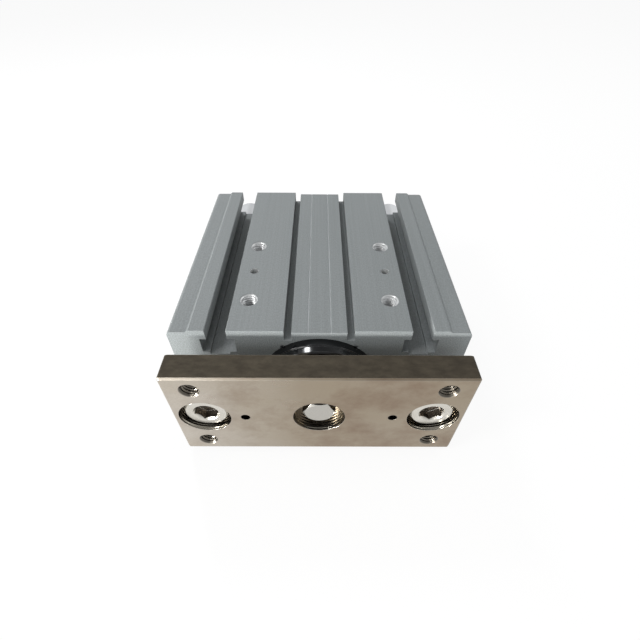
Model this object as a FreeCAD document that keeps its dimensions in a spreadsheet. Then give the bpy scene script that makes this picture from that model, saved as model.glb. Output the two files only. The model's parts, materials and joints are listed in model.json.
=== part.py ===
import FreeCAD, Part
import os
import Sketcher

# Guided pneumatic cylinder, retracted. Millimetres, +Z up.
# Origin: on the resting face, midway between the two dowel holes of the slotted face.
# +X to the right of a viewer who faces the tool plate, +Y from the plate towards the rear.

doc = FreeCAD.newDocument("GuidedCylinder")

# Driving sizes. Each one stands by itself; everything else is worked out from them.
sizes = [
    # travel and fits
    ("stroke", 100),
    ("runGap", 0.05),           # radial clearance of a sliding fit
    ("fitGap", 0.03),           # clearance of a seated or pressed fit
    ("stopGap", 0.32),          # piston to bumper at either end of the travel
    # body: its width and height follow from the bores and the walls around them
    ("boreDia", 63),
    ("floorWall", 7.5),         # resting face to the bore
    ("roofWall", 7.5),          # bore to the slotted face
    ("middleWall", 15.5),       # bore to either guide bore
    ("sideWall", 4),            # guide bore to the body's side
    ("bodyRound", 2.5),
    ("mouthBreak", 0.75),       # chamfer where a bore opens in the rear face
    ("shoulderWidth", 10.5),    # lowered strip along each side of the slotted face
    ("shoulderDrop", 1.2),
    ("shoulderRamp", 1.5),
    ("stripWidth", 29.7),       # lowered strip along the middle
    ("stripDrop", 1.3),
    ("markSpacing", 12.2),      # two fine lines on the middle strip
    ("markWidth", 0.7),
    ("markDepth", 0.35),
    ("switchGrooveWidth", 4),
    ("switchGrooveDepth", 7.3),
    ("slotWall", 1.4),          # screw hole to the wide part of the T-slot
    ("slotNeck", 11.3),
    ("slotWidth", 18.6),
    ("slotLip", 6.8),
    ("slotDepth", 17),
    ("slotBreak", 0.35),
    ("channelWidth", 10.9),
    ("channelStep", 1.8),       # channel along the floor of the T-slot
    # mounting holes of the body
    ("holeInset", 8.5),         # bore wall to the line of screw holes and dowels
    ("holeSpan", 52),
    ("holeWall", 1.7),          # air passage to the first pair of screw holes
    ("holeDia", 8.6),
    ("holeRim", 10.4),
    ("screwHeadDia", 14),       # counterbores on the resting face
    ("screwHeadDepth", 9),
    ("dowelDia", 5),
    ("dowelDepth", 10),
    # air ports
    ("portDia", 12.2),
    ("portRim", 0.8),
    ("portFloor", 1.2),         # left between the port and the bore
    ("portPassage", 5),
    ("sidePortHeight", 13),
    ("sidePortDepth", 12),
    ("plugLength", 9),
    ("plugInset", 1.2),
    ("plugTaper", 0.28),
    ("plugKey", 6),
    ("plugKeyDepth", 5),
    # tool plate
    ("plateSideInset", 2),      # how much narrower than the body at either side
    ("plateTopInset", 4),       # how much lower than the body at top and bottom
    ("plateThick", 16),
    ("plateClearance", 2.4),    # plate to the rod cover's nose
    ("plateRound", 1.5),
    ("plateChamfer", 1),
    ("plateHoleSide", 14),      # plate's edges to the corner holes
    ("plateHoleTop", 10),
    ("plateHoleDia", 8.6),
    ("plateHoleRim", 10.8),
    ("recessDia", 28.2),        # counterbores for the three heads
    # guide rods, their screws and their bearings
    ("guideDia", 25),
    ("guideTail", 32.5),        # rod behind the body when retracted
    ("guideChamfer", 1.2),
    ("guideHeadDia", 23.6),
    ("guideHeadHeight", 9),
    ("guideHeadInset", 2.6),
    ("guideScrewDia", 16),
    ("guideScrewGrip", 26),     # screw inside the rod
    ("guideKey", 12),
    ("guideKeyDepth", 5.5),
    ("guideKeyRim", 14.5),
    ("guideLip", 1.5),          # body in front of the guide's retaining ring
    ("guideRing", 1.2),
    ("guideRingGrip", 0.8),     # how far the ring reaches into its groove
    ("guideRingWidth", 2.6),
    ("holderLength", 3),
    ("holderWall", 2),
    ("feltLength", 4),
    ("bushWall", 2.5),
    ("bushLength", 20),
    ("spacerLength", 28),
    ("spacerWall", 1.8),
    ("guideRelief", 1),         # clearance of the guide bore behind the bushes
    # rod cover and what it holds, from the body's front face inwards
    ("noseLip", 1.5),           # nose beyond the bore
    ("noseOut", 9.6),
    ("noseChamfer", 0.8),
    ("noseGroovePlace", 4.9),
    ("noseGroove", 0.5),
    ("snapLand", 3.4),
    ("snapRing", 2.4),
    ("coverLand", 2.2),
    ("coverSealGroove", 2.6),
    ("reliefLand", 1.8),
    ("reliefLength", 5.6),      # ring-shaped air space around the cover's inner end
    ("reliefDepth", 4),
    ("snapRingGrip", 0.9),      # how far the ring reaches into the body
    ("snapRingWidth", 3),
    ("coverSeal", 1.9),         # radial room of the static seal
    ("rodDia", 20),
    ("rodBushWall", 2),
    ("sealWall", 5),
    ("sealLength", 7),
    ("notchDia", 2.6),          # pry notches beside the nose
    ("notchDepth", 1.5),
    ("notchAngle", 37.5),
    # head cover, from the body's rear face inwards
    ("rearLip", 3.5),
    ("headRing", 2),
    ("headFlange", 4.6),
    ("headBoss", 3.2),
    ("headRingGrip", 1.6),
    ("headRingWidth", 4.6),
    ("headRingLug", 2.9),
    ("headRingHole", 2.5),
    ("headSeatStep", 1),        # counterbore that seats the head cover
    ("headBossDia", 48),
    ("headDish", 1.2),
    ("headDishDia", 50),
    ("headSealGroove", 2.5),
    ("headSeal", 1.7),
    # bumpers
    ("rodBumper", 1.5),
    ("rodBumperDia", 42),
    ("rodBumperHole", 26),
    ("headBumper", 2),
    ("headBumperDia", 30),
    # piston: its length is the sum of its grooves and lands, from the front
    ("frontLand", 1.4),
    ("pistonSeal", 4.2),
    ("sealLand", 1.2),
    ("magnetLength", 2.8),
    ("magnetLand", 1),
    ("wearLength", 1.9),
    ("rearLand", 1),
    ("pistonGap", 0.3),
    ("pistonSealDepth", 4.8),
    ("magnetDepth", 3.4),
    ("wearDepth", 1.6),
    ("spigotDia", 14),
    ("gasketSection", 1.9),
    ("rivetDia", 17),
    ("rivetDepth", 1.5),
    ("rodChamfer", 0.5),
    # screw that holds the piston rod
    ("boltDia", 10),
    ("boltKey", 16),
    ("boltHead", 6.4),
    ("boltInset", 2.5),
    ("boltGrip", 20),
    ("washer", 2.2),
    ("washerDia", 18),
    ("screwClearance", 0.3),    # radial room of a screw in its plain hole
    ("drillTip", 2),            # hole left beyond the end of a screw
    ("splitAngle", 16),         # opening of the split rings
]

# Places that follow from the driving sizes. Those along Y are counted from the body's front face.
places = [
    ("halfBore", "dims.boreDia / 2"),
    ("guideBore", "dims.guideDia / 2 + dims.bushWall"),
    ("axisHeight", "made.halfBore + dims.floorWall"),
    ("bodyHeight", "made.axisHeight + made.halfBore + dims.roofWall"),
    ("guidePlace", "made.halfBore + dims.middleWall + made.guideBore"),
    ("bodySide", "made.guidePlace + made.guideBore + dims.sideWall"),
    ("holePlace", "made.halfBore + dims.holeInset"),
    ("slotPlace", "made.holePlace + dims.holeDia / 2 + dims.slotWall + dims.slotWidth / 2"),
    # rod cover
    ("snapEnd", "dims.snapLand + dims.snapRing"),
    ("coverSealPlace", "made.snapEnd + dims.coverLand"),
    ("coverSealEnd", "made.coverSealPlace + dims.coverSealGroove"),
    ("reliefPlace", "made.coverSealEnd + dims.reliefLand"),
    ("rodCoverDepth", "made.reliefPlace + dims.reliefLength"),
    ("noseRad", "made.halfBore + dims.noseLip"),
    ("sealRad", "dims.rodDia / 2 + dims.sealWall"),
    ("rodBushRad", "dims.rodDia / 2 + dims.rodBushWall"),
    ("sealSeat", "dims.sealLength - dims.noseOut"),
    ("pistonRad", "made.halfBore - dims.pistonGap"),
    # head cover, piston and body length
    ("headCoverBack", "dims.rearLip + dims.headRing + 2 * dims.fitGap"),
    ("headSeat", "made.headCoverBack + dims.headFlange"),
    ("headEnd", "made.headSeat + dims.headBoss"),
    ("headSeatRad", "made.halfBore + dims.headSeatStep"),
    ("magnetPlace", "dims.frontLand + dims.pistonSeal + dims.sealLand"),
    ("wearPlace", "made.magnetPlace + dims.magnetLength + dims.magnetLand"),
    ("pistonLength", "made.wearPlace + dims.wearLength + dims.rearLand"),
    ("bodyLength", "dims.stroke + made.rodCoverDepth + dims.rodBumper + 2 * dims.stopGap"
                   " + made.pistonLength + dims.headBumper + made.headEnd"),
    ("pistonFront", "made.bodyLength - made.headEnd - dims.headBumper - dims.stopGap"
                    " - made.pistonLength"),
    # ports and mounting holes
    ("frontPort", "made.rodCoverDepth - dims.portPassage / 2"),
    ("rearPort", "made.bodyLength - made.headEnd"),
    ("firstHole", "made.rodCoverDepth + dims.holeWall + dims.holeDia / 2"),
    ("dowelLine", "made.firstHole + dims.holeSpan / 2"),
    ("frontFace", "-made.dowelLine"),
    # plate and its screws
    ("plateSide", "made.bodySide - dims.plateSideInset"),
    ("plateTop", "made.axisHeight - dims.plateTopInset"),
    ("plateBack", "-dims.noseOut - dims.plateClearance"),
    ("plateFront", "made.plateBack - dims.plateThick"),
    ("guideRecess", "dims.guideHeadInset + dims.guideHeadHeight"),
    ("boltRecess", "dims.boltInset + dims.boltHead + dims.washer"),
    ("guideScrewLength", "dims.guideHeadHeight + dims.plateThick - made.guideRecess + dims.guideScrewGrip"),
    ("boltLength", "dims.washer + dims.plateThick - made.boltRecess + dims.boltGrip"),
    # guide bores
    ("holderPlace", "dims.guideLip + dims.guideRing + 2 * dims.fitGap"),
    ("feltPlace", "made.holderPlace + dims.holderLength"),
    ("frontBushPlace", "made.feltPlace + dims.feltLength"),
    ("spacerPlace", "made.frontBushPlace + dims.bushLength"),
    ("innerBushPlace", "made.spacerPlace + dims.spacerLength"),
    ("guideSeat", "made.innerBushPlace + dims.bushLength"),
]

dims = doc.addObject("Spreadsheet::Sheet", "dims")
made = doc.addObject("Spreadsheet::Sheet", "made")
for row, (alias, number) in enumerate(sizes, start=1):
    dims.set(f"A{row}", alias)
    dims.set(f"B{row}", str(number))
    dims.setAlias(f"B{row}", alias)
doc.recompute()
for row, (alias, formula) in enumerate(places, start=1):
    made.set(f"A{row}", alias)
    made.setAlias(f"B{row}", alias)
    made.set(f"B{row}", "=" + formula.replace("made.", ""))
    doc.recompute()

subParts = []       # every object that becomes a file


def worth(expression):
    # present value of an expression, in millimetres
    found = dims.evalExpression(expression)
    return found.Value if hasattr(found, "Value") else float(found)


def bind(item, path, expression):
    item.setExpression(path, expression)


def newBody(label, across="0", along="0", height="0", kept=True):
    # along is counted from the body's front face
    body = doc.addObject("PartDesign::Body", label)
    body.Label = label
    bind(body, "Placement.Base.x", across)
    bind(body, "Placement.Base.y", f"made.frontFace + {along}")
    bind(body, "Placement.Base.z", height)
    if kept:
        subParts.append(body)
    return body


def newSketch(body, name, plane, shift=("0", "0", "0")):
    # shift is in the sketch's own directions, the last one along its normal
    sketch = body.newObject("Sketcher::SketchObject", f"{body.Name}_{name}")
    support = next(item for item in body.Origin.OriginFeatures if item.Role == plane)
    sketch.AttachmentSupport = (support, [""])
    sketch.MapMode = "FlatFace"
    for axis, expression in zip("xyz", shift):
        bind(sketch, f"AttachmentOffset.Base.{axis}", expression)
    return sketch


def pin(sketch, edge, spot, place):
    # holds one point of the sketch at a place given by two expressions
    for kind, axis, expression in (("DistanceX", -2, place[0]), ("DistanceY", -1, place[1])):
        if expression == "0":
            sketch.addConstraint(Sketcher.Constraint("PointOnObject", edge, spot, axis))
        else:
            rule = Sketcher.Constraint(kind, -1, 1, edge, spot, worth(expression))
            bind(sketch, f"Constraints[{sketch.addConstraint(rule)}]", expression)


def outline(sketch, corners):
    # closed outline of straight lines; each corner is a pair of expressions
    spots = [FreeCAD.Vector(worth(a), worth(b), 0) for a, b in corners]
    first = sketch.GeometryCount
    count = len(corners)
    for index in range(count):
        sketch.addGeometry(Part.LineSegment(spots[index], spots[(index + 1) % count]))
    for index in range(count):
        here, after = first + index, first + (index + 1) % count
        sketch.addConstraint(Sketcher.Constraint("Coincident", here, 2, after, 1))
        pin(sketch, here, 1, corners[index])


def circle(sketch, place, diameter):
    centre = FreeCAD.Vector(worth(place[0]), worth(place[1]), 0)
    index = sketch.addGeometry(Part.Circle(centre, FreeCAD.Vector(0, 0, 1), worth(diameter) / 2))
    pin(sketch, index, 3, place)
    rule = Sketcher.Constraint("Diameter", index, worth(diameter))
    bind(sketch, f"Constraints[{sketch.addConstraint(rule)}]", diameter)


def hexagon(sketch, acrossFlats, firstCorner=0):
    # the first corner's angle is counted from the sketch's horizontal
    radius = f"{acrossFlats} / 2 / cos(30 deg)"
    outline(sketch, [(f"{radius} * cos({firstCorner + 60 * turn} deg)",
                      f"{radius} * sin({firstCorner + 60 * turn} deg)") for turn in range(6)])


def checkedVolume(body, feature, before, grows):
    doc.recompute()
    change = body.Shape.Volume - before
    if (change > 0) != grows or abs(change) < 1e-3:
        raise RuntimeError(f"{feature.Name} changed the volume by {change:.4f}")
    return feature


def pad(body, sketch, length):
    # upwards from XY, towards +Y from XZ
    before = body.Shape.Volume if body.Tip else 0
    feature = body.newObject("PartDesign::Pad", f"{sketch.Name}_pad")
    feature.Profile = sketch
    bind(feature, "Length", length)
    feature.Reversed = True
    return checkedVolume(body, feature, before, True)


def pocket(body, sketch, length, reverse=False):
    # downwards into XY, towards +Y into XZ, towards -X into YZ, or the other way in reverse
    before = body.Shape.Volume
    feature = body.newObject("PartDesign::Pocket", f"{sketch.Name}_pocket")
    feature.Profile = sketch
    bind(feature, "Length", length)
    feature.Reversed = reverse
    return checkedVolume(body, feature, before, False)


def hole(body, sketch, diameter, cutType, cutDiameter, cutDepth=None, reverse=False):
    # a drilled through hole with a counterbore, or with a 90 degree countersink
    doc.recompute()
    before = body.Shape.Volume
    feature = body.newObject("PartDesign::Hole", f"{sketch.Name}_hole")
    feature.Profile = sketch
    doc.recompute()
    feature.ThreadType = "None"
    feature.DepthType = "ThroughAll"
    feature.HoleCutType = cutType
    feature.HoleCutCustomValues = True
    feature.Reversed = reverse
    bind(feature, "Diameter", diameter)
    bind(feature, "HoleCutDiameter", cutDiameter)
    if cutDepth:
        bind(feature, "HoleCutDepth", cutDepth)
    return checkedVolume(body, feature, before, False)


def turned(body, corners, name="profile", angle="360", plane="XY_Plane", axis="V_Axis"):
    # solid of revolution; on XY the corners are (radius, place along Y)
    sketch = newSketch(body, name, plane)
    outline(sketch, corners)
    feature = body.newObject("PartDesign::Revolution", f"{sketch.Name}_turn")
    feature.Profile = sketch
    feature.ReferenceAxis = (sketch, [axis])
    bind(feature, "Angle", angle)
    return checkedVolume(body, feature, 0, True)


def bored(body, corners, name, across="0", height="0"):
    # stepped bore along Y; the corners are (place along Y, radius)
    before = body.Shape.Volume
    sketch = newSketch(body, name, "YZ_Plane", ("0", height, across))
    outline(sketch, corners)
    feature = body.newObject("PartDesign::Groove", f"{sketch.Name}_bore")
    feature.Profile = sketch
    feature.ReferenceAxis = (sketch, ["H_Axis"])
    feature.Angle = 360
    return checkedVolume(body, feature, before, False)


def mirrored(body, features):
    mirror = body.newObject("PartDesign::Mirrored", f"{features[0].Name}_mirror")
    mirror.Originals = features
    middle = next(item for item in body.Origin.OriginFeatures if item.Role == "YZ_Plane")
    mirror.MirrorPlane = (middle, [""])
    before = body.Shape.Volume
    body.Tip = mirror
    return checkedVolume(body, mirror, before, False)


def edgesWhere(body, test):
    return [f"Edge{number}" for number, edge in enumerate(body.Shape.Edges, start=1) if test(edge)]


def dress(body, kind, name, edges, size):
    # rounds or chamfers the named edges of the body's last feature
    before, base = body.Shape.Volume, body.Tip
    feature = body.newObject(f"PartDesign::{kind}", f"{body.Name}_{name}")
    feature.Base = (base, edges)
    bind(feature, "Radius" if kind == "Fillet" else "Size", size)
    body.Tip = feature
    return checkedVolume(body, feature, before, False)


def sameSpot(first, second):
    return abs(first - second) < 1e-4


def staticRing(label, innerRad, outerRad, along):
    # rubber ring with an eight-sided section, in a groove between two radii; along is its middle
    ring = newBody(label, along=along, height="made.axisHeight")
    middle, reach = f"({innerRad} + {outerRad}) / 2", f"(({outerRad} - ({innerRad})) / 2 - dims.fitGap)"
    flat = f"{reach} * tan(22.5 deg)"
    turned(ring, [(f"{middle} - {reach}", flat), (f"{middle} - {reach}", f"-{flat}"),
                  (f"{middle} - {flat}", f"-{reach}"), (f"{middle} + {flat}", f"-{reach}"),
                  (f"{middle} + {reach}", f"-{flat}"), (f"{middle} + {reach}", flat),
                  (f"{middle} + {flat}", reach), (f"{middle} - {flat}", reach)])


def makeGroup(label, members):
    # identical fasteners in one file, as separate solids
    group = doc.addObject("Part::Compound", label)
    group.Label = label
    group.Links = members
    subParts.append(group)
    return group


def guideSides():
    # name and place across of each guide
    return (("left", "-made.guidePlace"), ("right", "made.guidePlace"))


def makeCylinderBody():
    # Extruded section first, then the turned bores, then the drilled holes.
    body = newBody("cylinder_body")
    half = "made.bodySide"
    step = f"{half} - dims.shoulderWidth"
    low = "made.bodyHeight - dims.shoulderDrop"
    strip = "dims.stripWidth / 2"
    stripTop = "made.bodyHeight - dims.stripDrop"
    mark, halfMark = "dims.markSpacing / 2", "dims.markWidth / 2"
    markFloor = f"{stripTop} - dims.markDepth"
    rightHalf = [(half, "0"), (half, low), (step, low), (f"{step} - dims.shoulderRamp", "made.bodyHeight"),
                 (strip, "made.bodyHeight"), (strip, stripTop), (f"{mark} + {halfMark}", stripTop),
                 (mark, markFloor), (f"{mark} - {halfMark}", stripTop)]
    leftHalf = [(f"-({across})", height) for across, height in reversed(rightHalf)]
    section = newSketch(body, "section", "XZ_Plane")
    outline(section, rightHalf + leftHalf)
    pad(body, section, "made.bodyLength")

    width = worth(half)
    longEdges = edgesWhere(body, lambda edge: sameSpot(edge.BoundBox.XMax, edge.BoundBox.XMin)
                           and sameSpot(abs(edge.CenterOfMass.x), width)
                           and edge.BoundBox.YLength > edge.BoundBox.ZLength)
    dress(body, "Fillet", "long_edges", longEdges, "dims.bodyRound")

    groove = newSketch(body, "switch_groove", "XZ_Plane")
    far = f"{strip} + dims.switchGrooveWidth"
    floor = "made.bodyHeight - dims.switchGrooveDepth"
    above = "made.bodyHeight + dims.slotBreak"
    outline(groove, [(strip, floor), (far, floor), (far, above), (strip, above)])
    grooveCut = pocket(body, groove, "made.bodyLength")
    mirrored(body, [grooveCut])

    slot = newSketch(body, "t_slot", "XZ_Plane")
    steps = [("dims.slotNeck / 2 + 2 * dims.slotBreak", above),
             ("dims.slotNeck / 2", "made.bodyHeight - dims.slotBreak"),
             ("dims.slotNeck / 2", "made.bodyHeight - dims.slotLip"),
             ("dims.slotWidth / 2", "made.bodyHeight - dims.slotLip"),
             ("dims.slotWidth / 2", "made.bodyHeight - dims.slotDepth"),
             ("dims.channelWidth / 2", "made.bodyHeight - dims.slotDepth"),
             ("dims.channelWidth / 2", "made.bodyHeight - dims.slotDepth - dims.channelStep")]
    centre = "made.slotPlace"
    outline(slot, [(f"{centre} + {across}", height) for across, height in steps]
            + [(f"{centre} - ({across})", height) for across, height in reversed(steps)])
    slotCut = pocket(body, slot, "made.bodyLength")
    mirrored(body, [slotCut])

    ringGroove = "made.halfBore + dims.snapRingGrip + dims.fitGap"
    headSeat = "made.headSeatRad + dims.fitGap"
    headGroove = "made.headSeatRad + dims.headRingGrip + dims.fitGap"
    groovePlace = "made.bodyLength - made.headCoverBack"
    bored(body, [("0", "0"), ("0", "made.halfBore"),
                 ("dims.snapLand", "made.halfBore"), ("dims.snapLand", ringGroove),
                 ("made.snapEnd", ringGroove),
                 ("made.snapEnd", "made.halfBore"),
                 ("made.bodyLength - made.headSeat", "made.halfBore"),
                 ("made.bodyLength - made.headSeat", headSeat),
                 (groovePlace, headSeat), (groovePlace, headGroove),
                 ("made.bodyLength - dims.rearLip", headGroove),
                 ("made.bodyLength - dims.rearLip", headSeat),
                 ("made.bodyLength - dims.mouthBreak", headSeat),
                 ("made.bodyLength", f"{headSeat} + dims.mouthBreak"),
                 ("made.bodyLength", "0")], "main_bore", height="made.axisHeight")

    guideGroove = "made.guideBore + dims.guideRingGrip + dims.fitGap"
    relief = "dims.guideDia / 2 + dims.guideRelief"
    for side, across in guideSides():
        bored(body, [("0", "0"), ("0", "made.guideBore"),
                     ("dims.guideLip", "made.guideBore"), ("dims.guideLip", guideGroove),
                     ("made.holderPlace", guideGroove), ("made.holderPlace", "made.guideBore"),
                     ("made.guideSeat", "made.guideBore"), ("made.guideSeat", relief),
                     ("made.bodyLength - dims.mouthBreak", relief),
                     ("made.bodyLength", f"{relief} + dims.mouthBreak"),
                     ("made.bodyLength", "0")], f"guide_bore_{side}", across, "made.axisHeight")

    drilling = newSketch(body, "screw_holes", "XY_Plane")
    rows = ("made.firstHole", "made.firstHole + dims.holeSpan")
    for across in ("-made.holePlace", "made.holePlace"):
        for along in rows:
            circle(drilling, (across, along), "dims.holeDia")
    hole(body, drilling, "dims.holeDia", "Counterbore", "dims.screwHeadDia", "dims.screwHeadDepth",
         reverse=True)

    holeRad, top = worth("dims.holeDia / 2"), worth("made.bodyHeight")
    rims = edgesWhere(body, lambda edge: isinstance(edge.Curve, Part.Circle)
                      and sameSpot(edge.Curve.Radius, holeRad) and sameSpot(edge.CenterOfMass.z, top))
    dress(body, "Chamfer", "hole_rims", rims, "(dims.holeRim - dims.holeDia) / 2")

    dowels = newSketch(body, "dowel_holes", "XY_Plane", ("0", "0", "made.bodyHeight"))
    for across in ("-made.holePlace", "made.holePlace"):
        circle(dowels, (across, "made.dowelLine"), "dims.dowelDia")
    pocket(body, dowels, "dims.dowelDepth")

    # each end has one port on the resting face and one in the right-hand side
    lines = ("made.frontPort", "made.rearPort")
    for name, plane, shift, spots, depth, reach, upward in (
            ("port", "XY_Plane", "0", [("0", line) for line in lines], "dims.floorWall - dims.portFloor",
             "made.axisHeight", True),
            ("side_port", "YZ_Plane", half, [(line, "dims.sidePortHeight") for line in lines],
             "dims.sidePortDepth", half, False)):
        mouth = newSketch(body, name, plane, ("0", "0", shift))
        passage = newSketch(body, f"{name}_passage", plane, ("0", "0", shift))
        for spot in spots:
            circle(mouth, spot, "dims.portDia")
            circle(passage, spot, "dims.portPassage")
        pocket(body, mouth, depth, upward)
        pocket(body, passage, reach, upward)
    portRad = worth("dims.portDia / 2")
    mouths = edgesWhere(body, lambda edge: isinstance(edge.Curve, Part.Circle)
                        and sameSpot(edge.Curve.Radius, portRad)
                        and (sameSpot(edge.CenterOfMass.z, 0) or sameSpot(edge.CenterOfMass.x, width)))
    dress(body, "Chamfer", "port_rims", mouths, "dims.portRim")

    notches = newSketch(body, "pry_notches", "XZ_Plane", ("0", "made.axisHeight", "0"))
    for sign in ("-", ""):
        circle(notches, (f"{sign}made.noseRad * sin(dims.notchAngle * 1 deg)",
                         "made.noseRad * cos(dims.notchAngle * 1 deg)"), "dims.notchDia")
    pocket(body, notches, "dims.notchDepth")


def makeFrontPlate():
    plate = newBody("front_plate", along="made.plateFront", height="made.axisHeight")
    wide, tall = "made.plateSide", "made.plateTop"
    face = newSketch(plate, "face", "XZ_Plane")
    outline(face, [(f"-{wide}", f"-{tall}"), (wide, f"-{tall}"), (wide, tall), (f"-{wide}", tall)])
    pad(plate, face, "dims.plateThick")
    corners = edgesWhere(plate, lambda edge: not sameSpot(edge.BoundBox.YLength, 0))
    dress(plate, "Fillet", "corners", corners, "dims.plateRound")
    rims = edgesWhere(plate, lambda edge: sameSpot(edge.BoundBox.YLength, 0))
    dress(plate, "Chamfer", "rims", rims, "dims.plateChamfer")

    tapped = newSketch(plate, "tapped_holes", "XZ_Plane")
    for across in ("dims.plateHoleSide - made.plateSide", "made.plateSide - dims.plateHoleSide"):
        for height in ("dims.plateHoleTop - made.plateTop", "made.plateTop - dims.plateHoleTop"):
            circle(tapped, (across, height), "dims.plateHoleDia")
    hole(plate, tapped, "dims.plateHoleDia", "Countersink", "dims.plateHoleRim")

    dowels = newSketch(plate, "dowel_holes", "XZ_Plane")
    for across in ("-made.holePlace", "made.holePlace"):
        circle(dowels, (across, "0"), "dims.dowelDia")
    pocket(plate, dowels, "dims.plateThick")

    outer = newSketch(plate, "guide_screw_holes", "XZ_Plane")
    for _, across in guideSides():
        circle(outer, (across, "0"), "dims.guideScrewDia")
    hole(plate, outer, "dims.guideScrewDia + 2 * dims.screwClearance", "Counterbore", "dims.recessDia",
         "made.guideRecess")

    middle = newSketch(plate, "rod_screw_hole", "XZ_Plane")
    circle(middle, ("0", "0"), "dims.boltDia")
    hole(plate, middle, "dims.boltDia + 2 * dims.screwClearance", "Counterbore", "dims.recessDia",
         "made.boltRecess")


def makeGuideScrew(side, across, firstCorner):
    # low round head with a hexagon socket, turned in one profile from the socket's rim to the tip
    screw = newBody(f"guide_bolt_{side}", across, "made.plateFront + dims.guideHeadInset",
                    "made.axisHeight", kept=False)
    head, shank, tip = "dims.guideHeadDia / 2", "dims.guideScrewDia / 2", "made.guideScrewLength"
    mouth, key = "dims.guideKeyRim / 2", "dims.guideKey / 2"
    edge = "dims.guideHeadHeight / 10"
    turned(screw, [("0", f"{mouth} - {key}"), (key, f"{mouth} - {key}"), (mouth, "0"),
                   (f"{head} - {edge}", "0"), (head, edge), (head, "dims.guideHeadHeight"),
                   (shank, "dims.guideHeadHeight"), (shank, f"{tip} - dims.guideChamfer"),
                   (f"{shank} - dims.guideChamfer", tip), ("0", tip)])
    socket = newSketch(screw, "socket", "XZ_Plane")
    hexagon(socket, "dims.guideKey", firstCorner)
    pocket(screw, socket, "dims.guideKeyDepth")
    return screw


def makePlateBolt():
    bolt = newBody("plate_bolt", along="made.plateFront + dims.boltInset", height="made.axisHeight")
    head = newSketch(bolt, "head", "XZ_Plane")
    hexagon(head, "dims.boltKey")
    pad(bolt, head, "dims.boltHead")
    shank = newSketch(bolt, "shank", "XZ_Plane", ("0", "0", "-dims.boltHead"))
    circle(shank, ("0", "0"), "dims.boltDia")
    pad(bolt, shank, "made.boltLength")
    # 30 degree chamfer that takes the six corners off the head's face
    corner = "dims.boltKey / 2 / cos(30 deg) + dims.fitGap"
    flat = "dims.boltKey / 2 * 0.95"
    bored(bolt, [("0", flat), (f"({corner} - {flat}) * tan(30 deg)", corner), ("0", corner)], "corners")

    washer = newBody("plate_bolt_washer", along="made.plateFront + dims.boltInset + dims.boltHead",
                     height="made.axisHeight")
    inner, outer = "dims.boltDia / 2 + dims.screwClearance", "dims.washerDia / 2"
    turned(washer, [(inner, "0"), (outer, "0"), (outer, "dims.washer"), (inner, "dims.washer")],
           angle="360 - dims.splitAngle / 2")


def makeGuide(side, across):
    # The rod and, from front to rear, everything that sits in its bore.
    height = "made.axisHeight"
    rod = newBody(f"guide_rod_{side}", across, "made.plateBack", height)
    radius = "dims.guideDia / 2"
    length = "-made.plateBack + made.bodyLength + dims.guideTail"
    thread = "dims.guideScrewDia / 2 + dims.fitGap"
    bottom = "dims.guideScrewGrip + dims.drillTip"
    turned(rod, [(thread, "0"), (f"{radius} - dims.rodChamfer", "0"), (radius, "dims.rodChamfer"),
                 (radius, f"{length} - dims.guideChamfer"), (f"{radius} - dims.guideChamfer", length),
                 ("0", length), ("0", f"{bottom} + ({thread}) / 2"), (thread, bottom)])

    outer = "made.guideBore - dims.fitGap"
    bearing = f"{radius} + dims.runGap"
    ring = newBody(f"guide_retaining_ring_{side}", across, "dims.guideLip + dims.fitGap", height)
    ringOuter = "made.guideBore + dims.guideRingGrip"
    ringInner = f"{ringOuter} - dims.guideRingWidth"
    turned(ring, [(ringInner, "0"), (ringOuter, "0"), (ringOuter, "dims.guideRing"),
                  (ringInner, "dims.guideRing")], angle="360 - 2 * dims.splitAngle")

    holder = newBody(f"wiper_holder_{side}", across, "made.holderPlace", height)
    bore = "made.guideBore - dims.holderWall"
    turned(holder, [(bore, "0"), (outer, "0"), (outer, "dims.holderLength"), (bore, "dims.holderLength")])

    felt = newBody(f"felt_wiper_{side}", across, "made.feltPlace", height)
    turned(felt, [(bearing, "0"), (outer, "0"), (outer, "dims.feltLength"), (bearing, "dims.feltLength")])

    chamfer = "dims.bushWall / 5"
    for name, place in (("front", "made.frontBushPlace"), ("inner", "made.innerBushPlace")):
        bush = newBody(f"guide_bush_{name}_{side}", across, place, height)
        turned(bush, [(bearing, chamfer), (f"{bearing} + {chamfer}", "0"), (outer, "0"),
                      (outer, "dims.bushLength"), (f"{bearing} + {chamfer}", "dims.bushLength"),
                      (bearing, f"dims.bushLength - {chamfer}")])

    spacer = newBody(f"guide_spacer_{side}", across, "made.spacerPlace", height)
    bore = "made.guideBore - dims.spacerWall"
    turned(spacer, [(bore, "0"), (outer, "0"), (outer, "dims.spacerLength"), (bore, "dims.spacerLength")])


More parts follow.
